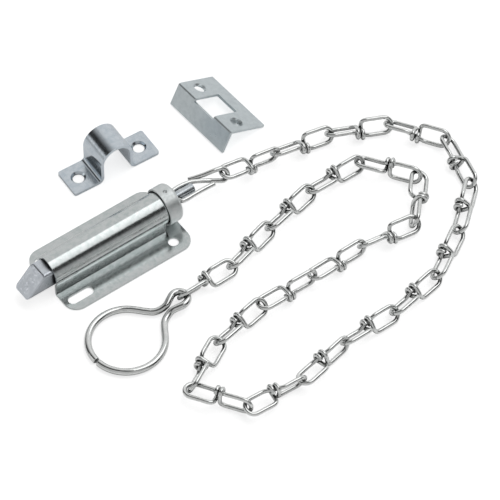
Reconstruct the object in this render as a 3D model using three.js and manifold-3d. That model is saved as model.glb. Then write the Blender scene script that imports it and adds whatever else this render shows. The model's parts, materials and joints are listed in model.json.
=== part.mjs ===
// Spring-loaded chain bolt for the top of a door, laid out flat with its two strikes.
// The bolt slides along X with its nose towards -X, the chain leaves towards +X, and
// everything rests on Z = 0. Millimetres, +Z up, origin under the middle of the whole kit.
import * as THREE from 'three';
import { mergeVertices } from 'three/addons/utils/BufferGeometryUtils.js';
import Module from 'manifold-3d';

const wasm = await Module();
wasm.setup();

// ---------------------------------------------------------------- driving dimensions

const housing = {
  length: 62.4,
  width: 36,
  sheet: 1.0,
  cornerRadius: 6,
  axisHeight: 10,
  tubeMidRadius: 6.8,
  neckY: 5.2,
  neckMidRadius: 0.9,
  neckLength: 55.3,
  tubeLength: 61.5,
  rearOpening: 55,
};
const flangeHoles = {
  offset: 12.2,
  slotX: 7.9,
  slotLength: 12,
  slotWidth: 4.4,
  holeX: 54.8,
  holeRadius: 2.3,
};
const cap = { start: 56.5, length: 7.0, outerRadius: 8.6, wall: 0.8, edgeRadius: 2.0, stemHoleRadius: 2.5 };
const staking = { x: 59.6, radius: 0.8 };
const bolt = {
  side: 9.5,
  cornerRadius: 1.5,
  tipX: -13.4,
  crestX: -4.2,
  rearX: 24,
  boreRadius: 2.3,
  boreStart: 12,
};
const stem = { radius: 2.0, rise: 1.0, startX: 12.4, endX: 73.7, crossHoleX: 65.2, crossHoleRadius: 1.3 };
const spring = { startX: 24.9, endX: 61.7, meanRadius: 4.0, wireRadius: 0.5, turns: 10 };
const linkWireRadius = 0.95;

const chain = {
  pitch: 26,
  wireRadius: 1.0,
  loopHalfWidth: 3.5,
  wireGap: 0.3,
  floorGap: 0.25,
  loopStart: 1.6,
  knotRadius: 3.0,
  knotLength: 5.2,
  knotOffset: 1.9,
};
const ring = { radius: 15.8, wireRadius: 1.5, eyeEnd: 32.3, eyePlay: 0.8, eyeRise: 2.6, buttGap: 4 };
const angleStrike = {
  length: 35.2,
  plate: 20.6,
  flange: 11.2,
  sheet: 1.2,
  bendRadius: 1.2,
  cutWidth: 12.6,
  cutDepth: 13.9,
  holeSpacing: 24.7,
  holeFromBend: 8.1,
  holeRadius: 2.3,
};
const archStrike = {
  length: 42.1,
  width: 14.4,
  sheet: 1.4,
  archInnerRadius: 6.5,
  legHeight: 7.2,
  footRadius: 1.6,
  holeSpacing: 30.1,
  holeRadius: 2.5,
};

// Where the loose pieces lie, from the housing's front end on the bolt's axis.
const chainStart = new THREE.Vector3(89.9, -0.3, 8.75);
const angleStrikeAt = { x: 103.4, y: 32.4, turn: 3 };
const archStrikeAt = { x: 57.3, y: 38.4, turn: -3 };
const ringTurnFromLastLink = 5;

// Each link's heading along the floor, the roll of its first loop, both in degrees, and
// the extra room in mm that its bend needs where it meets the next link.
const hookPose = [0, 60, 0];
const linkRoute = [
  [-4, 0, 0.6], [-10, -33, 0.2], [-25, -33, 0.3], [-56, -31, 0.4], [-104, -36, 0.3],
  [-140, -49, 0.1], [-149, -48, 0.2], [-170, -50, 0.1], [-179, -49, 0.2], [-169, -77, 0.2],
  [-183, -103, 0.1], [-236, -85, 0.4], [-331, 115, 0.5], [-350, 135, 0.5], [-361, -8, 0.2],
  [-359, -16, 0.1], [-368, -50, 0.7], [-313, -65, 0.6], [-235, -70, 0.6], [-181, -58, 0.2],
  [-168, -47, 0.1], [-164, -47, 0.3], [-179, -26, 0],
];

const steel = { color: 0xb9bfc3, roughness: 0.3, metalness: 1.0 };

// ---------------------------------------------------------------- shape helpers

const degrees = THREE.MathUtils.degToRad;

// Profiles are drawn in Y and Z and extruded along X.
const profileFrame = new THREE.Matrix4().makeBasis(
  new THREE.Vector3(0, 1, 0),
  new THREE.Vector3(0, 0, 1),
  new THREE.Vector3(1, 0, 0),
);

function extrudeAlongX(shape, fromX, toX) {
  const geometry = new THREE.ExtrudeGeometry(shape, {
    depth: toX - fromX,
    bevelEnabled: false,
    curveSegments: 10,
  });
  return geometry.applyMatrix4(profileFrame).translate(fromX, 0, 0);
}

function extrudeUp(shape, fromZ, toZ) {
  const options = { depth: toZ - fromZ, bevelEnabled: false, curveSegments: 6 };
  return new THREE.ExtrudeGeometry(shape, options).translate(0, 0, fromZ);
}

function rodAlongX(radius, fromX, toX, y, z, sides = 24) {
  const geometry = new THREE.CylinderGeometry(radius, radius, toX - fromX, sides);
  return geometry.rotateZ(-Math.PI / 2).translate((fromX + toX) / 2, y, z);
}

function block(fromX, toX, fromY, toY, fromZ, toZ) {
  const geometry = new THREE.BoxGeometry(toX - fromX, toY - fromY, toZ - fromZ);
  return geometry.translate((fromX + toX) / 2, (fromY + toY) / 2, (fromZ + toZ) / 2);
}

function roundedRectangle(width, depth, radius) {
  const shape = new THREE.Shape();
  const x = width / 2 - radius;
  const y = depth / 2 - radius;
  shape.absarc(x, y, radius, 0, Math.PI / 2);
  shape.absarc(-x, y, radius, Math.PI / 2, Math.PI);
  shape.absarc(-x, -y, radius, Math.PI, 1.5 * Math.PI);
  shape.absarc(x, -y, radius, 1.5 * Math.PI, 2 * Math.PI);
  return shape;
}

function arc(centreX, centreY, radius, fromDegrees, toDegrees, steps) {
  const points = [];
  for (let i = 0; i <= steps; i += 1) {
    const angle = degrees(fromDegrees + ((toDegrees - fromDegrees) * i) / steps);
    points.push(new THREE.Vector2(centreX + radius * Math.cos(angle), centreY + radius * Math.sin(angle)));
  }
  return points;
}

// The outline of bent sheet, from the line along the middle of its thickness.
function sheetOutline(middle, thickness) {
  const left = [];
  const right = [];
  middle.forEach((point, i) => {
    const before = middle[Math.max(i - 1, 0)];
    const after = middle[Math.min(i + 1, middle.length - 1)];
    const into = point.clone().sub(before).normalize();
    const out = after.clone().sub(point).normalize();
    const along = into.add(out).normalize();
    const normal = new THREE.Vector2(-along.y, along.x).multiplyScalar(thickness / 2);
    left.push(point.clone().add(normal));
    right.unshift(point.clone().sub(normal));
  });
  return new THREE.Shape([...left, ...right]);
}

function circleShape(radius, sides) {
  const points = [];
  for (let i = 0; i < sides; i += 1) {
    const angle = (2 * Math.PI * i) / sides;
    points.push(new THREE.Vector2(radius * Math.cos(angle), radius * Math.sin(angle)));
  }
  return new THREE.Shape(points);
}

function wire(curve, radius, sides, steps) {
  const options = { extrudePath: curve, steps, bevelEnabled: false };
  return new THREE.ExtrudeGeometry(circleShape(radius, sides), options);
}

function solid(geometry) {
  const bare = geometry.index ? geometry.toNonIndexed() : geometry.clone();
  bare.deleteAttribute('normal');
  bare.deleteAttribute('uv');
  const merged = mergeVertices(bare, 1e-4);
  return new wasm.Manifold(new wasm.Mesh({
    numProp: 3,
    vertProperties: new Float32Array(merged.attributes.position.array),
    triVerts: new Uint32Array(merged.index.array),
  }));
}

function toGeometry(manifold) {
  const mesh = manifold.getMesh();
  const geometry = new THREE.BufferGeometry();
  geometry.setAttribute('position', new THREE.BufferAttribute(mesh.vertProperties, 3));
  geometry.setIndex(new THREE.BufferAttribute(mesh.triVerts, 1));
  geometry.computeVertexNormals();
  return geometry;
}

function join(first, ...others) {
  return others.reduce((whole, other) => whole.add(solid(other)), solid(first));
}

function cut(whole, ...tools) {
  return tools.reduce((rest, tool) => rest.subtract(solid(tool)), whole);
}

function part(name, geometry) {
  const mesh = new THREE.Mesh(geometry, new THREE.MeshStandardMaterial(steel));
  mesh.name = name;
  return mesh;
}

// ---------------------------------------------------------------- bolt assembly

// The housing's middle line: flange, neck, once round the tube, and the same back out.
function housingMiddleLine() {
  const half = housing.sheet / 2;
  const bend = housing.neckMidRadius;
  const flange = [
    new THREE.Vector2(housing.width / 2, half),
    ...arc(housing.neckY + bend, half + bend, bend, -90, -180, 4),
  ];
  const mirrored = flange.map((point) => new THREE.Vector2(-point.x, point.y)).reverse();
  const opening = THREE.MathUtils.radToDeg(Math.asin(housing.neckY / housing.tubeMidRadius));
  const tube = arc(0, housing.axisHeight, housing.tubeMidRadius, opening - 90, 270 - opening, 28);
  return [...flange, ...tube, ...mirrored];
}

function makeHousing() {
  const halfWidth = housing.width / 2;
  const opening = housing.rearOpening;
  const rearTube = arc(0, housing.axisHeight, housing.tubeMidRadius, opening - 90, 270 - opening, 26);
  const front = extrudeAlongX(sheetOutline(housingMiddleLine(), housing.sheet), 0, housing.neckLength);
  const rearOutline = sheetOutline(rearTube, housing.sheet);
  const rear = extrudeAlongX(rearOutline, housing.neckLength - 1, housing.tubeLength);
  const tabs = [1, -1].map((side) => {
    const ys = [side * (housing.neckY + housing.neckMidRadius), side * halfWidth].sort((a, b) => a - b);
    return block(housing.neckLength - 1, housing.length, ys[0], ys[1], 0, housing.sheet);
  });
  const outline = roundedRectangle(housing.length, housing.width, housing.cornerRadius);
  const trim = extrudeUp(outline, -1, 30).translate(housing.length / 2, 0, 0);
  const body = join(front, rear, ...tabs).intersect(solid(trim));
  const openings = [1, -1].flatMap((side) => {
    const y = side * flangeHoles.offset;
    const slotRadius = flangeHoles.slotWidth / 2 - 0.01;
    const slot = roundedRectangle(flangeHoles.slotLength, flangeHoles.slotWidth, slotRadius);
    const hole = circleShape(flangeHoles.holeRadius, 16);
    return [
      extrudeUp(slot, -1, 3).translate(flangeHoles.slotX, y, 0),
      extrudeUp(hole, -1, 3).translate(flangeHoles.holeX, y, 0),
    ];
  });
  return part('housing', toGeometry(cut(body, ...openings)));
}

// A drawn cup over the tube's rear end, with a hole for the stem and one staking dimple.
function makeEndCap() {
  const inner = cap.outerRadius - cap.wall;
  const innerLength = cap.length - cap.wall;
  const edge = arc(cap.outerRadius - cap.edgeRadius, cap.length - cap.edgeRadius, cap.edgeRadius, 0, 90, 4);
  const profile = [
    new THREE.Vector2(inner, 0),
    new THREE.Vector2(cap.outerRadius, 0),
    ...edge,
    new THREE.Vector2(0, cap.length),
    new THREE.Vector2(0, innerLength),
    new THREE.Vector2(inner - 1, innerLength),
    new THREE.Vector2(inner, innerLength - 1),
    new THREE.Vector2(inner, 0),
  ];
  const cup = new THREE.LatheGeometry(profile, 28);
  cup.rotateZ(-Math.PI / 2).translate(cap.start, 0, housing.axisHeight);
  const stemHeight = housing.axisHeight + stem.rise;
  const stemHole = rodAlongX(cap.stemHoleRadius, cap.start + 1, cap.start + 20, 0, stemHeight, 20);
  const dimple = new THREE.CylinderGeometry(staking.radius, staking.radius, 3, 10).rotateX(Math.PI / 2);
  dimple.translate(staking.x, 0, housing.axisHeight + cap.outerRadius);
  return part('end_cap', toGeometry(cut(solid(cup), stemHole, dimple)));
}

// A square bar with rounded edges, cut back from its tip up to its top face.
function makeBolt() {
  const half = bolt.side / 2;
  const section = roundedRectangle(bolt.side, bolt.side, bolt.cornerRadius);
  const bar = extrudeAlongX(section, bolt.tipX, bolt.rearX).translate(0, 0, housing.axisHeight);
  const top = housing.axisHeight + half;
  const bottom = housing.axisHeight - half;
  const bevel = new THREE.Shape([
    new THREE.Vector2(bolt.tipX, bottom),
    new THREE.Vector2(bolt.crestX, top),
    new THREE.Vector2(bolt.crestX, top + 9),
    new THREE.Vector2(bolt.tipX - 9, top + 9),
    new THREE.Vector2(bolt.tipX - 9, bottom),
  ]);
  const bevelTool = new THREE.ExtrudeGeometry(bevel, { depth: 20, bevelEnabled: false });
  bevelTool.rotateX(Math.PI / 2).translate(0, 10, 0);
  const boreHeight = housing.axisHeight + stem.rise;
  const bore = rodAlongX(bolt.boreRadius, bolt.boreStart, bolt.rearX + 1, 0, boreHeight, 16);
  return part('bolt', toGeometry(cut(solid(bar), bevelTool, bore)));
}

function makeStem() {
  const height = housing.axisHeight + stem.rise;
  const rod = solid(rodAlongX(stem.radius, stem.startX, stem.endX, 0, height, 20));
  const crossHole = new THREE.CylinderGeometry(stem.crossHoleRadius, stem.crossHoleRadius, 12, 12);
  crossHole.translate(stem.crossHoleX, 0, height);
  return part('bolt_stem', toGeometry(cut(rod, crossHole)));
}

class Helix extends THREE.Curve {
  getPoint(t, target = new THREE.Vector3()) {
    const angle = 2 * Math.PI * spring.turns * t;
    const x = spring.startX + (spring.endX - spring.startX) * t;
    return target.set(x, spring.meanRadius * Math.cos(angle), spring.meanRadius * Math.sin(angle));
  }
}

function makeSpring() {
  const coil = wire(new Helix(), spring.wireRadius, 6, spring.turns * 12);
  return part('bolt_spring', toGeometry(solid(coil.translate(0, 0, housing.axisHeight + stem.rise))));
}

// One wire through the stem's cross hole: a free leg, the cross bar, a second leg,
// the hook that holds the chain, and the hook's cut end.
function makeConnectingLink() {
  const holeZ = housing.axisHeight + stem.rise;
  const x = stem.crossHoleX;
  const route = [
    [82.4, -3.4, 10.3], [78, -3.4, 10.7], [72, -3.5, 11.0], [67.6, -3.6, 11.0], [65.8, -3.3, holeZ],
    [x, -2.3, holeZ], [x, 0, holeZ], [x, 2.3, holeZ],
    [65.8, 3.3, holeZ], [67.6, 3.6, 11.0], [71, 3.5, 11.0], [74.6, 2.9, 10.8], [78, 1.4, 10.5],
    [81.5, -0.2, 9.7], [85.0, -1.4, 8.3], [88.3, -2.0, 6.8], [90.3, -1.6, 7.1], [91.0, -0.4, 9.1],
    [89.7, 0.8, 11.0], [86.7, 1.4, 11.5], [81.6, 2.9, 10.6], [75, 5.4, 9.5],
  ];
  const curve = new THREE.CatmullRomCurve3(route.map((point) => new THREE.Vector3(...point)));
  return part('connecting_link', toGeometry(solid(wire(curve, linkWireRadius, 8, 64))));
}

function makeBoltAssembly() {
  const group = new THREE.Group();
  group.add(makeHousing(), makeEndCap(), makeBolt(), makeStem(), makeSpring(), makeConnectingLink());
  return group;
}

// ---------------------------------------------------------------- chain and pull ring

// Height of a link's axis when the lowest part of it, a loop or the knot, is on the floor.
function linkHeight(roll) {
  const sine = Math.sin(degrees(roll));
  const cosine = Math.cos(degrees(roll));
  const loopDrop = chain.loopHalfWidth * Math.max(Math.abs(sine), Math.abs(cosine)) + chain.wireRadius;
  const knotDrop = chain.knotOffset * (sine + cosine) + chain.knotRadius;
  return Math.max(loopDrop, knotDrop) + chain.floorGap;
}

// How far the end wires of two links pass the point where they meet, before and after it.
// The flatter loop reaches past the steeper one, and a bend needs extra room.
function interlockReach(link, next) {
  const steepness = (Math.sin(degrees(link[1])) ** 2 + Math.sin(degrees(next[1])) ** 2) / 2;
  const room = 2 * chain.wireRadius + chain.wireGap + link[2];
  return { after: room * steepness, before: room * (1 - steepness) };
}

// From the middle of a link to the middle of the wire at its end.
const linkHalfLength = chain.pitch / 2 + chain.wireRadius + chain.wireGap / 2;

// Each link's middle and direction, and the points where the links meet.
function layChain() {
  const meetings = [chainStart.clone()];
  const links = linkRoute.map((link, i) => {
    const [heading, roll] = link;
    const next = linkRoute[i + 1] ?? link;
    const { before } = interlockReach(linkRoute[i - 1] ?? hookPose, link);
    const { after } = interlockReach(link, next);
    const from = meetings.at(-1);
    const flat = new THREE.Vector3(Math.cos(degrees(heading)), Math.sin(degrees(heading)), 0);
    const to = from.clone().addScaledVector(flat, 2 * linkHalfLength - before - after);
    to.z = Math.max(linkHeight(roll), linkHeight(next[1]));
    const along = to.clone().sub(from).normalize();
    meetings.push(to);
    return { along, roll, middle: from.clone().addScaledVector(along, linkHalfLength - before) };
  });
  return { links, meetings };
}

// A flat loop of wire from the knot out to one end of the link, in the XZ plane.
function makeLoop() {
  const end = linkHalfLength - chain.loopHalfWidth;
  const start = chain.loopStart + chain.loopHalfWidth - 1;
  const corner = (cx, fromDegrees) => {
    const points = arc(cx, 0, chain.loopHalfWidth, fromDegrees, fromDegrees + 180, 6);
    return points.map((point) => new THREE.Vector3(point.x, 0, point.y));
  };
  const points = [...corner(end, -90), ...corner(start, 90)];
  return sweptPolygon(points, chain.wireRadius, 6);
}

// A closed ring of straight tube lengths with mitred corners, lying in the XZ plane.
function sweptPolygon(points, radius, sides) {
  const count = points.length;
  const rings = points.map((point, i) => {
    const into = point.clone().sub(points[(i + count - 1) % count]).normalize();
    const out = points[(i + 1) % count].clone().sub(point).normalize();
    const along = into.clone().add(out).normalize();
    const outward = new THREE.Vector3(along.z, 0, -along.x).multiplyScalar(radius / along.dot(out));
    const across = new THREE.Vector3(0, radius, 0);
    return Array.from({ length: sides }, (_, k) => {
      const angle = (2 * Math.PI * (k + 0.5)) / sides;
      return point.clone().addScaledVector(outward, Math.cos(angle)).addScaledVector(across, Math.sin(angle));
    });
  });
  const positions = rings.flat().flatMap((point) => point.toArray());
  const indices = [];
  for (let i = 0; i < count; i += 1) {
    for (let k = 0; k < sides; k += 1) {
      const a = i * sides + k;
      const b = i * sides + ((k + 1) % sides);
      const c = ((i + 1) % count) * sides + k;
      const d = ((i + 1) % count) * sides + ((k + 1) % sides);
      indices.push(a, b, c, b, d, c);
    }
  }
  const geometry = new THREE.BufferGeometry();
  geometry.setAttribute('position', new THREE.Float32BufferAttribute(positions, 3));
  geometry.setIndex(indices);
  return geometry;
}

// Two loops at right angles, joined by the wrapped knot between them.
function makeLinkGeometry() {
  const second = makeLoop();
  const first = makeLoop().rotateZ(Math.PI).rotateX(Math.PI / 2);
  const halfLength = chain.knotLength / 2;
  const knot = rodAlongX(chain.knotRadius, -halfLength, halfLength, -chain.knotOffset, -chain.knotOffset, 8);
  return toGeometry(join(knot, first, second));
}

function makeChain() {
  const group = new THREE.Group();
  const shape = makeLinkGeometry();
  layChain().links.forEach(({ along, roll, middle }, i) => {
    const link = part(`chain_link_${String(i + 1).padStart(2, '0')}`, shape.clone());
    const left = new THREE.Vector3(-along.y, along.x, 0).normalize();
    const up = along.clone().cross(left);
    link.quaternion.setFromRotationMatrix(new THREE.Matrix4().makeBasis(along, left, up));
    link.rotateX(degrees(roll));
    link.position.copy(middle);
    group.add(link);
  });
  return group;
}

// A round ring drawn in at one side to a neck and a small eye, butted opposite the eye.
function ringRoute() {
  const halfGap = ring.buttGap / 2;
  const round = arc(0, 0, ring.radius, 180 - halfGap, 36, 12);
  const shoulder = [[15.6, 5.6], [18, 3.2], [20.8, 2.05], [23.2, 1.85], [25.6, 2.7], [28.4, 3.55], [31, 2.7]];
  const upper = [...round, ...shoulder.map(([x, y]) => new THREE.Vector2(x, y))];
  const lower = upper.map((point) => new THREE.Vector2(point.x, -point.y)).reverse();
  const eyeEnd = new THREE.Vector2(ring.eyeEnd, 0);
  const lift = (x) => ring.wireRadius + ring.eyeRise * THREE.MathUtils.smoothstep(x, 17, 30);
  return [...upper, eyeEnd, ...lower].map((point) => new THREE.Vector3(point.x, point.y, lift(point.x)));
}

function makePullRing() {
  const wireSpacing = ring.wireRadius + chain.wireRadius + ring.eyePlay;
  const curve = new THREE.CatmullRomCurve3(ringRoute());
  const mesh = part('pull_ring', toGeometry(solid(wire(curve, ring.wireRadius, 8, 84))));
  const turn = linkRoute.at(-1)[0] + 180 + ringTurnFromLastLink;
  const last = layChain().links.at(-1);
  const chainEnd = last.middle.clone().addScaledVector(last.along, linkHalfLength);
  const eyeReach = ring.eyeEnd - wireSpacing;
  mesh.rotation.z = degrees(turn);
  const eyeX = eyeReach * Math.cos(degrees(turn));
  const eyeY = eyeReach * Math.sin(degrees(turn));
  mesh.position.set(chainEnd.x - eyeX, chainEnd.y - eyeY, 0);
  return mesh;
}

// ---------------------------------------------------------------- strikes

function verticalDrill(radius, x, y) {
  return extrudeUp(circleShape(radius, 16), -20, 20).translate(x, y, 0);
}

// An L-shaped plate with a square opening that reaches the bend. Built with the plate
// flat and its flange down, then tipped to stand on the flange's and the plate's edges.
function makeAngleStrike() {
  const s = angleStrike;
  const half = s.sheet / 2;
  const bend = arc(s.bendRadius, -s.bendRadius, s.bendRadius - half, 90, 180, 4);
  const line = [new THREE.Vector2(s.plate, -half), ...bend, new THREE.Vector2(half, -s.flange)];
  const profile = sheetOutline(line, s.sheet);
  const sheet = new THREE.ExtrudeGeometry(profile, { depth: s.length, bevelEnabled: false });
  sheet.rotateX(Math.PI / 2).translate(0, s.length / 2, 0);
  const opening = block(-2, s.cutDepth, -s.cutWidth / 2, s.cutWidth / 2, -1.9, 3);
  const drillAt = (side) => verticalDrill(s.holeRadius, s.holeFromBend, (side * s.holeSpacing) / 2);
  const drills = [1, -1].map(drillAt);
  const mesh = part('angle_strike', toGeometry(cut(solid(sheet), opening, ...drills)));
  const tilt = Math.atan2(s.flange - s.sheet, s.plate - s.sheet);
  mesh.rotation.y = tilt;
  mesh.position.z = s.flange * Math.cos(tilt) + s.sheet * Math.sin(tilt);
  const group = new THREE.Group();
  group.add(mesh);
  group.position.set(angleStrikeAt.x, angleStrikeAt.y, 0);
  group.rotation.z = degrees(angleStrikeAt.turn);
  return group;
}

// A strap bent over a half-round arch, with a drilled ear at each end.
function makeArchStrike() {
  const s = archStrike;
  const half = s.sheet / 2;
  const archRadius = s.archInnerRadius + half;
  const footRadius = s.footRadius + half;
  const legX = archRadius;
  const foot = arc(legX + footRadius, half + footRadius, footRadius, -90, -180, 4);
  const arch = arc(0, half + s.legHeight + footRadius, archRadius, 0, 180, 14);
  const side = [new THREE.Vector2(s.length / 2, half), ...foot];
  const mirrored = side.map((point) => new THREE.Vector2(-point.x, point.y)).reverse();
  const strap = new THREE.ExtrudeGeometry(sheetOutline([...side, ...arch, ...mirrored], s.sheet), {
    depth: s.width,
    bevelEnabled: false,
  });
  strap.rotateX(Math.PI / 2).translate(0, s.width / 2, 0);
  const drills = [1, -1].map((end) => verticalDrill(s.holeRadius, (end * s.holeSpacing) / 2, 0));
  const mesh = part('half_round_strike', toGeometry(cut(solid(strap), ...drills)));
  mesh.position.set(archStrikeAt.x, archStrikeAt.y, 0);
  mesh.rotation.z = degrees(archStrikeAt.turn);
  return mesh;
}

// ---------------------------------------------------------------- the whole kit

const kit = new THREE.Group();
kit.add(makeBoltAssembly(), makeChain(), makePullRing(), makeAngleStrike(), makeArchStrike());
kit.updateMatrixWorld(true);

const box = new THREE.Box3().setFromObject(kit, true);
kit.position.set(-(box.min.x + box.max.x) / 2, -(box.min.y + box.max.y) / 2, -box.min.z);

export default kit;
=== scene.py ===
"""A zinc-plated chain bolt with its pull chain and two strikes, laid out on a pale floor.

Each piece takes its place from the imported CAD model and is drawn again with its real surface:
drawn wire, pressed sheet and bar. Pieces are drawn in millimetres and put into the CAD model's
own frame, in metres.
"""
import json
import math

import bmesh
import bpy
import numpy as np
from mathutils import Matrix, Vector


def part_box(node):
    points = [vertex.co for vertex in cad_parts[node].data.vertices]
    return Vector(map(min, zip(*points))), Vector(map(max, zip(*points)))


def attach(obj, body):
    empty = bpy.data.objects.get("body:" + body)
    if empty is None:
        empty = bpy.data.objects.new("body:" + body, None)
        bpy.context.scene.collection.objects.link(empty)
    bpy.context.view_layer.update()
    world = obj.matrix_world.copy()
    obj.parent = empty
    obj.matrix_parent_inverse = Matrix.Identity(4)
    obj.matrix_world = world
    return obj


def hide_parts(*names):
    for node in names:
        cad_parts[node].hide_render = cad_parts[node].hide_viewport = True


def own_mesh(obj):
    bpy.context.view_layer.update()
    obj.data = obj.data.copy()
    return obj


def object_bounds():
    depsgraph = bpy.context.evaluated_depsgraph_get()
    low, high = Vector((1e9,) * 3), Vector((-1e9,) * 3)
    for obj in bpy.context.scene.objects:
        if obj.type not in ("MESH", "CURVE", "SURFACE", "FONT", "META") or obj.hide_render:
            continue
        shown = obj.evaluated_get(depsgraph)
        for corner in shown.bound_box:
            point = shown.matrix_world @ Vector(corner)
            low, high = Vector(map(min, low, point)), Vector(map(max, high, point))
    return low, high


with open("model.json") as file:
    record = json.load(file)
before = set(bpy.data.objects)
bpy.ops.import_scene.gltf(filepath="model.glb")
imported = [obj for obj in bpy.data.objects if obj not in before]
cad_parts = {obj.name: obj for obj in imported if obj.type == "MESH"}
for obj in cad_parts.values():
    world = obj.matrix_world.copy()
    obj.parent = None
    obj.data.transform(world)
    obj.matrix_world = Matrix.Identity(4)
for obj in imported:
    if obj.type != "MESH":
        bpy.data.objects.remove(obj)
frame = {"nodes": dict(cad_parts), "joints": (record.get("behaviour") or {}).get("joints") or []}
cad_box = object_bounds()
MM = 0.001

# ------------------------------------------------------------------ sizes, in millimetres

HOUSING = {
    "length": 62.4, "width": 36.0, "sheet": 1.0, "corner": 6.0, "axis_height": 10.0,
    "tube_radius": 6.8, "neck_y": 5.7, "neck_radius": 0.65, "neck_length": 55.3,
    "tube_length": 61.5, "tube_overlap": 1, "rear_opening": 55.0, "tab": 3.2, "tab_overlap": 0.2,
}
FLANGE_HOLES = {
    "offset": 12.2, "slot_x": 7.9, "slot_length": 12.0, "slot_width": 4.4,
    "hole_x": 54.8, "hole_radius": 2.3,
}
CAP = {
    "start": 56.5, "length": 7.0, "radius": 8.6, "wall": 0.8, "edge": 2.0, "inner_edge": 1.2,
    "lip": 0.12, "hole": 2.5, "hole_edge": 0.15,
}
DIMPLE = {"x": 59.6, "radius": 0.95, "depth": 0.75}
BOLT = {"side": 9.5, "corner": 1.5, "tip": -13.4, "crest": -4.2, "rear": 24.0}
STEM = {
    "radius": 2.0, "rise": 1.0, "start": 20.0, "end": 73.7, "edge": 0.35,
    "hole_x": 65.2, "hole": 1.3,
}
SPRING = {"start": 24.9, "end": 61.7, "radius": 4.0, "wire": 0.5, "turns": 10}
HOOK_WIRE = 1.0
LINK = {"half_length": 14.15, "half_width": 3.5, "wire": 0.896}
# Each half of a link's wire starts as a coil round the other half's wire: the coil's middle
# and radius, where it runs along the link and how far it spreads, and the degrees it turns.
KNOT = {
    "y": -2.0, "z": -1.25, "radius": 1.84, "x": -0.97, "spread": 0.2,
    "first": 345, "last": 90, "step": 15,
}
# A CAD link's second loop starts this far from its middle, and its knot ends this close to it.
SECOND_LOOP, KNOT_REACH = 7, 2.7
RING = {
    "radius": 15.8, "wire": 1.5, "eye": 32.3, "eye_rise": 2.6, "rise_from": 17, "rise_over": 13,
    "gap": 4.0, "clearance": 0.001, "heading": 6.0,
}
ANGLE = {
    "length": 35.2, "plate": 20.6, "flange": 11.2, "sheet": 1.2, "bend": 1.2, "turn": 3.0,
    "cut_width": 12.6, "cut_depth": 13.9, "cut_corner": 0.4, "spacing": 24.7, "from_bend": 8.1,
    "hole": 2.3,
}
ARCH = {
    "length": 42.1, "width": 14.4, "sheet": 1.4, "inner": 6.5, "leg": 7.2, "foot": 1.6,
    "spacing": 30.1, "hole": 2.5, "turn": -3.0, "corner": 1.1,
}
ROUNDING = {"housing": 0.5, "bolt": 0.45, "angle": 0.35, "arch": 0.55}
# From where to where each cutting tool reaches, across what it cuts.
FLANGE_CUT, BLANK_CUT, WEDGE_CUT, CROSS_CUT = (-1, 3), (-1, 30), (-10, 10), (-6, 6)
OPENING_CUT, DRILL_CUT = (-1.9, 3), (-20, 20)
# How far the bevel's wedge and a countersink's cone go past the metal that they remove.
WEDGE_ROOM, SINK_ROOM = 9, 0.4

# The bolt assembly's own origin: the housing's front end, on the bolt's axis, on the floor.
housing_low, housing_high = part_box("housing")
ORIGIN = Vector((housing_low.x, (housing_low.y + housing_high.y) / 2, housing_low.z))


# ------------------------------------------------------------------ mesh helpers

SHARP_FROM = 32.0    # degrees between two faces, from which their edge is rounded


def points(values):
    return [Vector(value) for value in values]


def arc(cx, cy, radius, start, end, steps):
    """Points in a plane along an arc, from start to end degrees."""
    angles = [math.radians(start + (end - start) * i / steps) for i in range(steps + 1)]
    return [Vector((cx + radius * math.cos(a), cy + radius * math.sin(a))) for a in angles]


def mesh_object(name, bm, place=None):
    """A new object from a bmesh in millimetres, put where place says, in metres."""
    bmesh.ops.recalc_face_normals(bm, faces=bm.faces)
    mesh = bpy.data.meshes.new(name)
    bm.to_mesh(mesh)
    bm.free()
    mesh.transform(Matrix.Diagonal((MM, MM, MM, 1)))
    mesh.transform(Matrix.Translation(ORIGIN) if place is None else place)
    made = bpy.data.objects.new(name, mesh)
    bpy.context.scene.collection.objects.link(made)
    return made


def prism(outline, low, high, across):
    """A bmesh prism of a closed outline. across maps (u, v, height) to a point."""
    outline = [p for i, p in enumerate(outline) if (p - outline[i - 1]).length > 1e-4]
    bm = bmesh.new()
    bottom = [bm.verts.new(across(p.x, p.y, low)) for p in outline]
    top = [bm.verts.new(across(p.x, p.y, high)) for p in outline]
    bm.faces.new(bottom)
    bm.faces.new(top[::-1])
    count = len(outline)
    for i in range(count):
        j = (i + 1) % count
        bm.faces.new((bottom[j], bottom[i], top[i], top[j]))
    return bm


def along_x(u, v, h):
    return (h, u, v)


def along_y(u, v, h):
    return (u, h, v)


def along_z(u, v, h):
    return (u, v, h)


def rounded_rectangle(length, width, radius, cx=0.0, cy=0.0, steps=8):
    x, y = length / 2 - radius, width / 2 - radius
    corners = [(x, y, 0), (-x, y, 90), (-x, -y, 180), (x, -y, 270)]
    return [p for px, py, a in corners for p in arc(cx + px, cy + py, radius, a, a + 90, steps)]


def circle(cx, cy, radius, steps=40):
    return arc(cx, cy, radius, 0, 360 * (steps - 1) / steps, steps - 1)


def sheet_outline(middle, thickness):
    """The outline of bent sheet, from the line along the middle of its thickness."""
    left, right = [], []
    for i, point in enumerate(middle):
        before = (point - middle[max(i - 1, 0)]).normalized()
        after = (middle[min(i + 1, len(middle) - 1)] - point).normalized()
        along = (before + after).normalized()
        normal = Vector((-along.y, along.x)) * thickness / 2
        left.append(point + normal)
        right.append(point - normal)
    return left + right[::-1]


def apply_modifiers(piece):
    graph = bpy.context.evaluated_depsgraph_get()
    mesh = bpy.data.meshes.new_from_object(piece.evaluated_get(graph))
    piece.modifiers.clear()
    old = piece.data
    piece.data = mesh
    bpy.data.meshes.remove(old)


def combine(piece, other, operation):
    """Joins, cuts or intersects piece with other, which is used up."""
    modifier = piece.modifiers.new("combine", "BOOLEAN")
    modifier.operation = operation
    modifier.solver = "EXACT"
    modifier.object = other
    apply_modifiers(piece)
    bpy.data.objects.remove(other)


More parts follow.
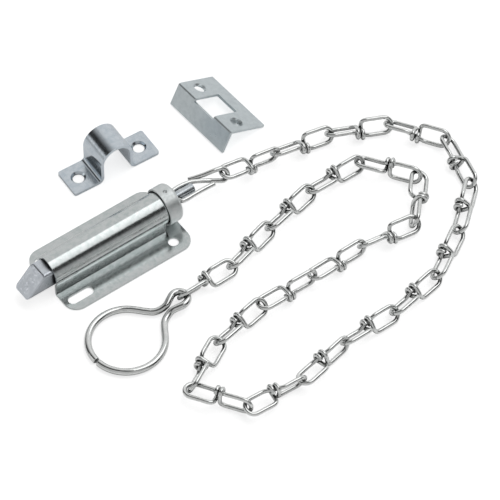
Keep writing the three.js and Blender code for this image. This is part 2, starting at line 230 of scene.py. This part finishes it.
def cut(piece, *tools):
    for tool in tools:
        combine(piece, tool, "DIFFERENCE")


def ease_edges(piece, width, segments=3):
    """Rounds every sharp edge a little, as plating and tumbling leave them."""
    modifier = piece.modifiers.new("ease", "BEVEL")
    modifier.width = width * MM
    modifier.segments = segments
    modifier.limit_method = "ANGLE"
    modifier.angle_limit = math.radians(SHARP_FROM)
    modifier.use_clamp_overlap = True
    modifier.harden_normals = True
    piece.data.shade_smooth()
    apply_modifiers(piece)


def lathe(profile, steps=96):
    """A bmesh turned about X from (radius, x) points, closed on itself."""
    bm = bmesh.new()
    rows = []
    for i in range(steps):
        a = 2 * math.pi * i / steps
        rows.append([bm.verts.new((x, r * math.cos(a), r * math.sin(a))) for r, x in profile])
    count = len(profile)
    for i in range(steps):
        row, following = rows[i], rows[(i + 1) % steps]
        for k in range(count):
            m = (k + 1) % count
            bm.faces.new((row[k], row[m], following[m], following[k]))
    bmesh.ops.remove_doubles(bm, verts=bm.verts, dist=1e-5)
    return bm


# ------------------------------------------------------------------ wires

def centripetal(route, per_span):
    """A smooth curve through every point of an open route."""
    route = points(route)
    padded = [2 * route[0] - route[1], *route, 2 * route[-1] - route[-2]]
    curve = []
    for i in range(1, len(padded) - 2):
        p = padded[i - 1:i + 3]
        t = [0.0]
        for a, b in zip(p, p[1:]):
            t.append(t[-1] + max((b - a).length, 1e-6) ** 0.5)
        for step in range(per_span):
            curve.append(between(p, t, t[1] + (t[2] - t[1]) * step / per_span))
    curve.append(route[-1])
    return curve


def between(p, t, x):
    """The centripetal curve through four points, at parameter x."""
    a = [p[i] * ((t[i + 1] - x) / (t[i + 1] - t[i])) + p[i + 1] * ((x - t[i]) / (t[i + 1] - t[i]))
         for i in range(3)]
    b = [a[i] * ((t[i + 2] - x) / (t[i + 2] - t[i])) + a[i + 1] * ((x - t[i]) / (t[i + 2] - t[i]))
         for i in range(2)]
    return b[0] * ((t[2] - x) / (t[2] - t[1])) + b[1] * ((x - t[1]) / (t[2] - t[1]))


def wire(route, radius, sides=14, cut_edge=0.18):
    """A bmesh of round wire along a route, with eased cut ends."""
    tangents = [(route[min(i + 1, len(route) - 1)] - route[max(i - 1, 0)]).normalized()
                for i in range(len(route))]
    side = tangents[0].orthogonal().normalized()
    stations = []
    for i, point in enumerate(route):
        side = (side - tangents[i] * side.dot(tangents[i])).normalized()
        stations.append((point, tangents[i], side.copy(), radius))
    first, last = stations[0], stations[-1]
    eased = radius * (1 - cut_edge)
    stations[0] = (first[0] + first[1] * radius * cut_edge, *first[1:])
    stations[-1] = (last[0] - last[1] * radius * cut_edge, *last[1:])
    stations = [(*first[:3], eased), *stations, (*last[:3], eased)]
    bm = bmesh.new()
    rings = []
    for point, tangent, side, r in stations:
        up = tangent.cross(side)
        angles = [2 * math.pi * k / sides for k in range(sides)]
        rings.append([bm.verts.new(point + r * (side * math.cos(a) + up * math.sin(a)))
                      for a in angles])
    for row, following in zip(rings, rings[1:]):
        for k in range(sides):
            m = (k + 1) % sides
            bm.faces.new((row[k], row[m], following[m], following[k]))
    bm.faces.new(rings[0])
    bm.faces.new(rings[-1][::-1])
    return bm


def smooth_wire(piece):
    piece.data.shade_smooth()
    piece.data.set_sharp_from_angle(angle=math.radians(50))


# ------------------------------------------------------------------ materials

def new_material(name):
    material = bpy.data.materials.new(name)
    material.use_nodes = True
    nodes = material.node_tree.nodes
    return material, nodes, material.node_tree.links, nodes["Principled BSDF"]


def noise(nodes, links, scale, detail):
    """A noise texture on each piece's own coordinates."""
    place = nodes.new("ShaderNodeTexCoord")
    texture = nodes.new("ShaderNodeTexNoise")
    texture.inputs["Scale"].default_value = scale
    texture.inputs["Detail"].default_value = detail
    links.new(place.outputs["Object"], texture.inputs["Vector"])
    return texture.outputs["Fac"]


def ramp(nodes, links, value, low, high, start=0.3, end=0.7):
    """A value or colour that runs from low to high as the texture goes from start to end."""
    node = nodes.new("ShaderNodeValToRGB")
    node.color_ramp.elements[0].position = start
    node.color_ramp.elements[1].position = end
    node.color_ramp.elements[0].color = low
    node.color_ramp.elements[1].color = high
    links.new(value, node.inputs["Fac"])
    return node.outputs["Color"]


def grey(value):
    return (value, value, value, 1)


def shade_occlusion(nodes, reach):
    """How open the surface is, from 0 deep in a crevice or against the floor to 1."""
    openness = nodes.new("ShaderNodeAmbientOcclusion")
    openness.inputs["Distance"].default_value = reach
    openness.samples = 8
    return openness.outputs["AO"]


def mix(nodes, links, amount, low, high):
    """Blends two colours, each a socket or a plain colour."""
    node = nodes.new("ShaderNodeMix")
    node.data_type = "RGBA"
    links.new(amount, node.inputs["Factor"])
    for socket, colour in ((node.inputs[6], low), (node.inputs[7], high)):
        if isinstance(colour, tuple):
            socket.default_value = colour
        else:
            links.new(colour, socket)
    return node.outputs[2]


# What a finish has unless its own call says otherwise: strength of the grain, scale of the
# clouds, share of the darker colour kept in the painted shade of crevices and undersides, how far
# in metres the occlusion behind that painted shade reaches, and how open a surface has to be to
# show its unshaded colour.
FINISH = {"grain": 1.0, "spangle": 420, "tarnish": 0.25, "reach": 0.003, "clear": 0.62}
WIRE_COLOURS = {"light": (0.92, 0.93, 0.92), "dark": (0.83, 0.85, 0.84)}
FINE_BUMP = {"strength": 0.25, "distance": 0.00003}
PEEL_BUMP = {"strength": 0.35, "distance": 0.0001}


def bump(nodes, links, height, grain, size):
    node = nodes.new("ShaderNodeBump")
    node.inputs["Strength"].default_value = size["strength"] * grain
    node.inputs["Distance"].default_value = size["distance"]
    links.new(height, node.inputs["Height"])
    return node


def zinc(name, light, dark, roughness, **changes):
    """Zinc plate: fine clouds of colour and polish, a soft peel, and painted shade low and in
    crevices.
    """
    finish = {**FINISH, **changes}
    spangle, grain, light, dark = finish["spangle"], finish["grain"], (*light, 1), (*dark, 1)
    material, nodes, links, shader = new_material(name)
    shader.inputs["Metallic"].default_value = 1.0
    cloud = noise(nodes, links, spangle, 6)
    colour = ramp(nodes, links, cloud, dark, light, 0.36, 0.6)
    # Painted shade: occlusion blends the colour to a dimmed dark tone in creases, under parts and
    # facing the floor.
    openness = shade_occlusion(nodes, finish["reach"])
    open_side = ramp(nodes, links, openness, grey(0), grey(1), 0.25, finish["clear"])
    painted_shade_colour = tuple(value * finish["tarnish"] for value in dark[:3]) + (1,)
    links.new(mix(nodes, links, open_side, painted_shade_colour, colour), shader.inputs["Base Color"])
    speckle = noise(nodes, links, 2.4 * spangle, 5)
    rough = ramp(nodes, links, speckle, grey(roughness * 0.75), grey(roughness * 1.3))
    links.new(rough, shader.inputs["Roughness"])
    fine = bump(nodes, links, speckle, grain, FINE_BUMP)
    peel = bump(nodes, links, noise(nodes, links, 0.7 * spangle, 3), grain, PEEL_BUMP)
    links.new(fine.outputs["Normal"], peel.inputs["Normal"])
    links.new(peel.outputs["Normal"], shader.inputs["Normal"])
    return material


# In each finish below, the share after the clouds keeps that much of the darker colour in the
# painted shade; the long reach of the wires, strap and bolt paints shade along their undersides.
sheet_zinc = zinc("zinc_sheet", (0.70, 0.73, 0.73), (0.61, 0.66, 0.655), 0.17,
                  grain=0.6, spangle=500, tarnish=0.6, reach=0.0015)
arch_zinc = zinc("zinc_strap", (0.73, 0.79, 0.84), (0.64, 0.71, 0.77), 0.19,
                 grain=0.55, spangle=450, tarnish=0.3, reach=0.015)
angle_zinc = zinc("zinc_angle", (0.71, 0.77, 0.79), (0.65, 0.71, 0.73), 0.36,
                  grain=0.3, spangle=450, tarnish=0.4, reach=0.002)
cap_zinc = zinc("zinc_cap", (0.86, 0.89, 0.89), (0.79, 0.83, 0.83), 0.46,
                grain=0.4, spangle=450, tarnish=0.4, reach=0.002)
bolt_zinc = zinc("zinc_bolt", (0.76, 0.80, 0.85), (0.69, 0.73, 0.78), 0.32,
                 grain=0.12, spangle=400, tarnish=0.2, reach=0.030, clear=0.85)
stem_zinc = zinc("zinc_stem", (0.68, 0.72, 0.75), (0.57, 0.62, 0.66), 0.26,
                 grain=0.4, spangle=500, tarnish=0.4, reach=0.002)
wire_zinc = zinc("zinc_wire", **WIRE_COLOURS, roughness=0.15,
                 grain=0.25, spangle=500, tarnish=0.12, reach=0.020)
ring_zinc = zinc("zinc_ring", **WIRE_COLOURS, roughness=0.14,
                 grain=0.25, spangle=500, tarnish=0.12, reach=0.020)
spring_steel = zinc("spring_steel", (0.34, 0.34, 0.34), (0.2, 0.2, 0.21), 0.3)


def settle(piece, body, material, slot, *nodes):
    """Gives a finished piece its material and its body, and hides the CAD nodes that it stands for.
    """
    piece.data.materials.clear()
    piece.data.materials.append(material)
    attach(piece, body)
    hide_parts(*nodes)


# ------------------------------------------------------------------ the bolt assembly

def housing_line():
    """The pressed section's middle line: flange, neck, round the tube, and back out."""
    h = HOUSING
    half, bend = h["sheet"] / 2, h["neck_radius"]
    corner = arc(h["neck_y"] + bend, half + bend, bend, -90, -180, 8)
    flange = [Vector((h["width"] / 2, half)), *corner]
    mirrored = [Vector((-p.x, p.y)) for p in reversed(flange)]
    opening = math.degrees(math.asin(h["neck_y"] / h["tube_radius"]))
    tube = arc(0, h["axis_height"], h["tube_radius"], opening - 90, 270 - opening, 72)
    return [*flange, *tube, *mirrored]


def make_housing():
    h, f = HOUSING, FLANGE_HOLES
    opening = h["rear_opening"]
    rear_line = arc(0, h["axis_height"], h["tube_radius"], opening - 90, 270 - opening, 64)
    front = sheet_outline(housing_line(), h["sheet"])
    body = mesh_object("case", prism(front, 0, h["neck_length"], along_x))
    rear_start = h["neck_length"] - h["tube_overlap"]
    rear = prism(sheet_outline(rear_line, h["sheet"]), rear_start, h["tube_length"], along_x)
    combine(body, mesh_object("rear", rear), "UNION")
    for side in (1, -1):
        inner, outer = side * h["tab"], side * h["width"] / 2
        start, end = h["neck_length"] - h["tab_overlap"], h["length"]
        tab = [Vector(p) for p in ((start, inner), (end, inner), (end, outer), (start, outer))]
        combine(body, mesh_object("tab", prism(tab, 0, h["sheet"], along_z)), "UNION")
    blank = rounded_rectangle(h["length"], h["width"], h["corner"], h["length"] / 2, 0, 14)
    combine(body, mesh_object("blank", prism(blank, *BLANK_CUT, along_z)), "INTERSECT")
    slot_end = f["slot_width"] / 2 - 0.01
    for side in (1, -1):
        y = side * f["offset"]
        slot = rounded_rectangle(f["slot_length"], f["slot_width"], slot_end, f["slot_x"], y, 16)
        hole = circle(f["hole_x"], y, f["hole_radius"])
        cut(body, mesh_object("slot", prism(slot, *FLANGE_CUT, along_z)),
            mesh_object("hole", prism(hole, *FLANGE_CUT, along_z)))
    ease_edges(body, ROUNDING["housing"], 4)
    settle(body, "housing", sheet_zinc, "plated_sheet", "housing")


def make_end_cap():
    c = CAP
    inner, far, lip = c["radius"] - c["wall"], c["length"] - c["wall"], c["lip"]
    outer_arc = arc(c["radius"] - c["edge"], c["length"] - c["edge"], c["edge"], 0, 90, 10)
    inner_arc = arc(inner - c["inner_edge"], far - c["inner_edge"], c["inner_edge"], 90, 0, 6)
    edge, inner_edge = [[(p.x, p.y) for p in line] for line in (outer_arc, inner_arc)]
    mouth = [(inner, lip), (inner + lip, 0), (c["radius"] - lip, 0), (c["radius"], lip)]
    rim = [(c["hole"] + c["hole_edge"], c["length"])]
    hole = [(c["hole"], c["length"] - c["hole_edge"]), (c["hole"], far + c["hole_edge"])]
    back = [(c["hole"] + c["hole_edge"], far)]
    cup = mesh_object("cap", lathe([*mouth, *edge, *rim, *hole, *back, *inner_edge]))
    cup.data.transform(Matrix.Translation(Vector((c["start"], 0, HOUSING["axis_height"])) * MM))
    crater = bmesh.new()
    bmesh.ops.create_icosphere(crater, subdivisions=4, radius=DIMPLE["radius"])
    top = HOUSING["axis_height"] + c["radius"] + DIMPLE["radius"] - DIMPLE["depth"]
    bmesh.ops.translate(crater, vec=(DIMPLE["x"], 0, top), verts=crater.verts)
    cut(cup, mesh_object("crater", crater))
    cup.data.shade_smooth()
    cup.data.set_sharp_from_angle(angle=math.radians(38))
    settle(cup, "housing", cap_zinc, "plated_cap", "end_cap")


def make_bolt():
    b, height = BOLT, HOUSING["axis_height"]
    section = rounded_rectangle(b["side"], b["side"], b["corner"], 0, height, 10)
    bar = mesh_object("bar", prism(section, b["tip"], b["rear"], along_x))
    top, bottom = height + b["side"] / 2, height - b["side"] / 2
    past_top, past_tip = top + WEDGE_ROOM, b["tip"] - WEDGE_ROOM
    wedge = points([(b["tip"], bottom), (b["crest"], top), (b["crest"], past_top),
                    (past_tip, past_top), (past_tip, bottom)])
    cut(bar, mesh_object("wedge", prism(wedge, *WEDGE_CUT, along_y)))
    ease_edges(bar, ROUNDING["bolt"])
    settle(bar, "bolt", bolt_zinc, "plated_bar", "bolt")


def make_stem():
    s = STEM
    height = HOUSING["axis_height"] + s["rise"]
    radius, end, edge = s["radius"], s["end"], s["edge"]
    profile = [(0, s["start"]), (radius, s["start"]), (radius, end - edge),
               (radius - edge * 0.3, end - edge * 0.3), (radius - edge, end), (0, end)]
    rod = mesh_object("stem", lathe(profile, 48))
    rod.data.transform(Matrix.Translation(Vector((0, 0, height)) * MM))
    cross = prism(circle(s["hole_x"], height, s["hole"]), *CROSS_CUT, along_y)
    cut(rod, mesh_object("cross", cross))
    rod.data.shade_smooth()
    rod.data.set_sharp_from_angle(angle=math.radians(35))
    settle(rod, "bolt", stem_zinc, "plated_bar", "bolt_stem")


def make_spring():
    s = SPRING
    height = HOUSING["axis_height"] + STEM["rise"]
    steps = s["turns"] * 28
    route = []
    for i in range(steps + 1):
        a = 2 * math.pi * s["turns"] * i / steps
        x = s["start"] + (s["end"] - s["start"]) * i / steps
        route.append(Vector((x, s["radius"] * math.cos(a), height + s["radius"] * math.sin(a))))
    coil = mesh_object("coil_spring", wire(route, s["wire"], 8))
    smooth_wire(coil)
    settle(coil, "housing", spring_steel, "spring_wire", "bolt_spring")
    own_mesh(coil)


def make_connecting_link():
    """One bent wire: a free leg, the bar through the stem, and the hook with its cut end."""
    z, x = HOUSING["axis_height"] + STEM["rise"], STEM["hole_x"]
    route = [
        (82.4, -3.4, 10.3), (78, -3.4, 10.7), (72, -3.5, 11.0), (67.6, -3.6, 11.0),
        (65.8, -3.3, z), (x, -2.3, z), (x, 0, z), (x, 2.3, z), (65.8, 3.3, z),
        (67.6, 3.6, 11.0), (71, 3.5, 11.0), (74.6, 2.9, 10.8), (78, 1.4, 10.5),
        (81.5, -0.2, 9.7), (85.0, -1.4, 8.3), (88.3, -2.0, 6.8), (90.3, -1.6, 7.1),
        (91.0, -0.4, 9.1), (89.7, 0.8, 11.0), (86.7, 1.4, 11.5), (81.6, 2.9, 10.6),
        (75, 5.4, 9.5),
    ]
    hook = mesh_object("connecting_wire", wire(centripetal(route, 8), HOOK_WIRE, 18))
    smooth_wire(hook)
    settle(hook, "connecting_link", wire_zinc, "plated_wire", "connecting_link")


# ------------------------------------------------------------------ the chain

def half_link():
    """Half of a link's wire: from its cut end, round the other wire, and out round its loop."""
    k = KNOT
    wrap = []
    for degrees in range(k["first"], k["last"] - 1, -k["step"]):
        a = math.radians(degrees)
        x = k["x"] - k["spread"] * (degrees - k["last"]) / (k["first"] - k["last"])
        wrap.append((x, k["y"] + k["radius"] * math.cos(a), k["z"] + k["radius"] * math.sin(a)))
    across = [(-0.98, 0.1, 0.75), (-1.05, 1.9, 0.5), (-1.7, 3.05, 0.15), (-3.0, 3.5, 0),
              (-6.5, 3.5, 0)]
    end = LINK["half_width"] - LINK["half_length"]
    turn = [(p.x, p.y, 0) for p in arc(end, 0, LINK["half_width"], 90, 270, 14)]
    through = [(-6.5, -3.5, 0), (-3.6, -3.4, 0), (-1.0, -2.1, -1.2)]
    return points([*wrap, *across, *turn, *through])


def link_route():
    """The whole wire of a double-loop link. Its halves are alike, a quarter turn apart."""
    half = half_link()
    return half + [Vector((-p.x, p.z, p.y)) for p in reversed(half)]


def link_place(node, start, end):
    """Where a CAD link is: its length is local X, its second loop's width is local Z."""
    co = np.array([v.co for v in frame["nodes"][node].data.vertices])
    along = (Vector(end) - Vector(start)).normalized()
    offset = co - np.array(start)
    reach = offset @ np.array(along)
    centre = (reach.min() + reach.max()) / 2
    across = offset - np.outer(reach, np.array(along))
    second_loop = across[reach > centre + SECOND_LOOP * MM]
    _, _, axes = np.linalg.svd(second_loop, full_matrices=False)
    knot = Vector(across[abs(reach - centre) < KNOT_REACH * MM].mean(0))
    up = Vector(axes[0])
    side = up.cross(along)
    if knot.dot(side + up) > 0:
        side, up = -side, -up
    turn = Matrix((along, side, up)).transposed().to_4x4()
    return Matrix.Translation(Vector(start) + along * centre) @ turn


def make_chain():
    hinges = [joint for joint in frame["joints"] if joint["type"] == "hinge"]
    meetings = {joint["child"]: joint["pos_m"] for joint in hinges}
    names = sorted(name for name in frame["nodes"] if name.startswith("chain_link_"))
    route = centripetal(link_route(), 2)
    for i, name in enumerate(names):
        following = names[i + 1] if i + 1 < len(names) else "pull_ring"
        place = link_place(name, meetings[name], meetings[following])
        shown_as = name.replace("chain_link", "wire_link")
        link = mesh_object(shown_as, wire(route, LINK["wire"]), place)
        smooth_wire(link)
        settle(link, name, wire_zinc, "plated_wire", name)


# ------------------------------------------------------------------ the pull ring

def ring_route():
    """A round ring drawn in to a neck and an eye, its two ends butted opposite the eye."""
    r = RING
    round_part = [(p.x, p.y) for p in arc(0, 0, r["radius"], 180 - r["gap"] / 2, 36, 12)]
    shoulder = [(15.6, 5.6), (18, 3.2), (20.8, 2.05), (23.2, 1.85), (25.6, 2.7), (28.4, 3.55),
                (31, 2.7)]
    upper = round_part + shoulder
    flat = [*upper, (r["eye"], 0), *[(x, -y) for x, y in reversed(upper)]]

    def height(x):
        """The ring lies on the floor and rises smoothly to its eye."""
        t = min(max((x - r["rise_from"]) / r["rise_over"], 0), 1)
        return r["wire"] + r["clearance"] + r["eye_rise"] * t * t * (3 - 2 * t)

    return [(x, y, height(x)) for x, y in flat]


def make_pull_ring():
    r = RING
    heading = math.radians(r["heading"])
    pivot = next(Vector(j["pos_m"]) for j in frame["joints"] if j["child"] == "pull_ring")
    reach = Vector((math.cos(heading), math.sin(heading), 0)) * r["eye"] * MM
    centre = Vector((pivot.x, pivot.y, ORIGIN.z)) - reach
    place = Matrix.Translation(centre) @ Matrix.Rotation(heading, 4, "Z")
    ring = mesh_object("ring_wire", wire(centripetal(ring_route(), 7), r["wire"], 24, 0.12), place)
    smooth_wire(ring)
    settle(ring, "pull_ring", ring_zinc, "plated_wire", "pull_ring")


# ------------------------------------------------------------------ the strikes

def strike_place(node, turn, local_middle, height):
    """Where a loose strike lies: its middle from its CAD node, turned about Z."""
    low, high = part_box(node)
    middle = Vector(((low.x + high.x) / 2, (low.y + high.y) / 2, low.z))
    turned = Matrix.Rotation(math.radians(turn), 4, "Z")
    offset = turned @ Vector((local_middle, 0, 0)) * MM
    return Matrix.Translation(middle - offset + Vector((0, 0, height)) * MM) @ turned


def drill(x, y, radius):
    return prism(circle(x, y, radius), *DRILL_CUT, along_z)


def countersink(x, y, radius, sheet, top=0.0):
    """A cone that opens the top of a screw hole by about half the sheet's thickness."""
    depth = sheet * 0.55
    wide, tall = radius + depth + SINK_ROOM, depth + SINK_ROOM
    bm = bmesh.new()
    bmesh.ops.create_cone(bm, cap_ends=True, segments=40, radius1=radius, radius2=wide, depth=tall)
    bmesh.ops.translate(bm, vec=(x, y, top - depth + tall / 2), verts=bm.verts)
    return bm


def make_angle_strike():
    a = ANGLE
    half = a["sheet"] / 2
    bend = arc(a["bend"], -a["bend"], a["bend"] - half, 90, 180, 10)
    line = [Vector((a["plate"], -half)), *bend, Vector((half, -a["flange"]))]
    tilt = math.atan2(a["flange"] - a["sheet"], a["plate"] - a["sheet"])
    height = a["flange"] * math.cos(tilt) + a["sheet"] * math.sin(tilt)
    low_x = -a["flange"] * math.sin(tilt)
    high_x = a["plate"] * math.cos(tilt)
    place = strike_place("angle_strike", a["turn"], (low_x + high_x) / 2, height)
    place = place @ Matrix.Rotation(tilt, 4, "Y")
    x, hole, sheet, end = a["from_bend"], a["hole"], a["sheet"], a["length"] / 2
    bar = prism(sheet_outline(line, sheet), -end, end, along_y)
    plate = mesh_object("angle_plate", bar, place)
    depth = a["cut_depth"]
    opening = rounded_rectangle(depth + 2, a["cut_width"], a["cut_corner"], depth / 2 - 1, 0, 4)
    cut(plate, mesh_object("opening", prism(opening, *OPENING_CUT, along_z), place))
    for side in (1, -1):
        y = side * a["spacing"] / 2
        cut(plate, mesh_object("drill", drill(x, y, hole), place))
        cut(plate, mesh_object("sink", countersink(x, y, hole, sheet), place))
    ease_edges(plate, ROUNDING["angle"])
    settle(plate, "angle_strike", angle_zinc, "plated_sheet", "angle_strike")


def make_arch_strike():
    a = ARCH
    half = a["sheet"] / 2
    arch_radius, foot_radius = a["inner"] + half, a["foot"] + half
    foot = arc(arch_radius + foot_radius, half + foot_radius, foot_radius, -90, -180, 10)
    arch = arc(0, half + a["leg"] + foot_radius, arch_radius, 0, 180, 40)
    side = [Vector((a["length"] / 2, half)), *foot]
    mirrored = [Vector((-p.x, p.y)) for p in reversed(side)]
    place = strike_place("half_round_strike", a["turn"], 0, 0)
    band = prism(sheet_outline([*side, *arch, *mirrored], a["sheet"]),
                 -a["width"] / 2, a["width"] / 2, along_y)
    strap = mesh_object("arch_strap", band, place)
    blank = rounded_rectangle(a["length"], a["width"], a["corner"])
    combine(strap, mesh_object("blank", prism(blank, *BLANK_CUT, along_z), place), "INTERSECT")
    for end in (1, -1):
        x = end * a["spacing"] / 2
        cut(strap, mesh_object("drill", drill(x, 0, a["hole"]), place))
        cut(strap, mesh_object("sink", countersink(x, 0, a["hole"], a["sheet"], a["sheet"]), place))
    ease_edges(strap, ROUNDING["arch"], 5)
    settle(strap, "half_round_strike", arch_zinc, "plated_sheet", "half_round_strike")


make_housing()
make_end_cap()
make_bolt()
make_stem()
make_spring()
make_connecting_link()
make_chain()
make_pull_ring()
make_angle_strike()
make_arch_strike()


# ------------------------------------------------------------------ floor, light and camera

# The floor glows for the camera by both strengths, and in reflections by the second alone.
FLOOR_SIZE, FLOOR_DROP, FLOOR_GLOW = 3.0, 0.0002, (0.5, 0.18)
# A direction's reach along WORLD_LEAN, plus a half, picks its shade from the stops.
WORLD_LEAN = (0.36, 0.28, 0.15)
WORLD_ENDS = (0.45, 0.70)
WORLD_STOPS = (
    (0.29, 0.45), (0.41, 0.42), (0.465, 0.04), (0.615, 0.012), (0.73, 0.30), (0.865, 0.68),
)
CAMERA = {
    "elevation": 52.5, "azimuth": -36.35, "distance": 1.5, "aim": (78.3, -34.0, 0),
    "sensor": 36.0, "lens": 259.8,
}


def make_floor():
    bm = bmesh.new()
    bmesh.ops.create_grid(bm, x_segments=2, y_segments=2, size=FLOOR_SIZE)
    mesh = bpy.data.meshes.new("floor")
    bm.to_mesh(mesh)
    bm.free()
    floor = bpy.data.objects.new("floor", mesh)
    bpy.context.scene.collection.objects.link(floor)
    floor.location.z = cad_box[0][2] - FLOOR_DROP
    material, nodes, links, shader = new_material("pale_floor")
    shader.inputs["Base Color"].default_value = (0.9, 0.9, 0.9, 1)
    shader.inputs["Roughness"].default_value = 0.9
    shader.inputs["Emission Color"].default_value = (1, 1, 1, 1)
    path = nodes.new("ShaderNodeLightPath")
    glow = nodes.new("ShaderNodeMath")
    glow.operation = "MULTIPLY_ADD"
    glow.inputs[1].default_value, glow.inputs[2].default_value = FLOOR_GLOW
    links.new(path.outputs["Is Camera Ray"], glow.inputs[0])
    links.new(glow.outputs["Value"], shader.inputs["Emission Strength"])
    floor.data.materials.append(material)


def make_light(name, place, size, power):
    """A soft rectangular light that points at the origin."""
    data = bpy.data.lights.new(name, "AREA")
    data.shape = "RECTANGLE"
    data.size, data.size_y = size
    data.energy = power
    light = bpy.data.objects.new(name, data)
    light.location = place
    light.rotation_euler = (-Vector(place)).to_track_quat("-Z", "Y").to_euler()
    bpy.context.scene.collection.objects.link(light)


def make_world():
    """A grey studio with one dark band across it, which the plating mirrors."""
    world = bpy.data.worlds.new("studio")
    bpy.context.scene.world = world
    world.use_nodes = True
    nodes, links = world.node_tree.nodes, world.node_tree.links
    place = nodes.new("ShaderNodeTexCoord")
    lean = nodes.new("ShaderNodeVectorMath")
    lean.operation = "DOT_PRODUCT"
    lean.inputs[1].default_value = WORLD_LEAN
    links.new(place.outputs["Generated"], lean.inputs[0])
    shift = nodes.new("ShaderNodeMath")
    shift.operation = "ADD"
    shift.inputs[1].default_value = 0.5
    links.new(lean.outputs["Value"], shift.inputs[0])
    shade = nodes.new("ShaderNodeValToRGB")
    stops = shade.color_ramp
    for end, position in ((0, 0.0), (1, 1.0)):
        stops.elements[end].position = position
        stops.elements[end].color = grey(WORLD_ENDS[end])
    for position, value in WORLD_STOPS:
        stops.elements.new(position).color = grey(value)
    links.new(shift.outputs["Value"], shade.inputs["Fac"])
    links.new(shade.outputs["Color"], nodes["Background"].inputs["Color"])
    nodes["Background"].inputs["Strength"].default_value = 1.0


def make_camera():
    elevation, azimuth = math.radians(CAMERA["elevation"]), math.radians(CAMERA["azimuth"])
    target = ORIGIN + Vector(CAMERA["aim"]) * MM
    target.z = 0
    back = Vector((math.sin(azimuth), -math.cos(azimuth), 0)) * math.cos(elevation)
    data = bpy.data.cameras.new("camera")
    data.sensor_width = CAMERA["sensor"]
    data.lens = CAMERA["lens"]
    data.clip_end = 20
    camera = bpy.data.objects.new("camera", data)
    rise = Vector((0, 0, math.sin(elevation)))
    camera.location = target + (back + rise) * CAMERA["distance"]
    camera.rotation_euler = (target - camera.location).to_track_quat("-Z", "Y").to_euler()
    bpy.context.scene.collection.objects.link(camera)
    bpy.context.scene.camera = camera


make_floor()
make_light("key", (0.50, -0.20, 1.35), (1.2, 1.04), 4.0)
make_light("left", (-1.0, 0.6, 0.42), (0.5, 0.3), 0.27)
make_world()
make_camera()
bpy.context.scene.view_settings.view_transform = "Standard"
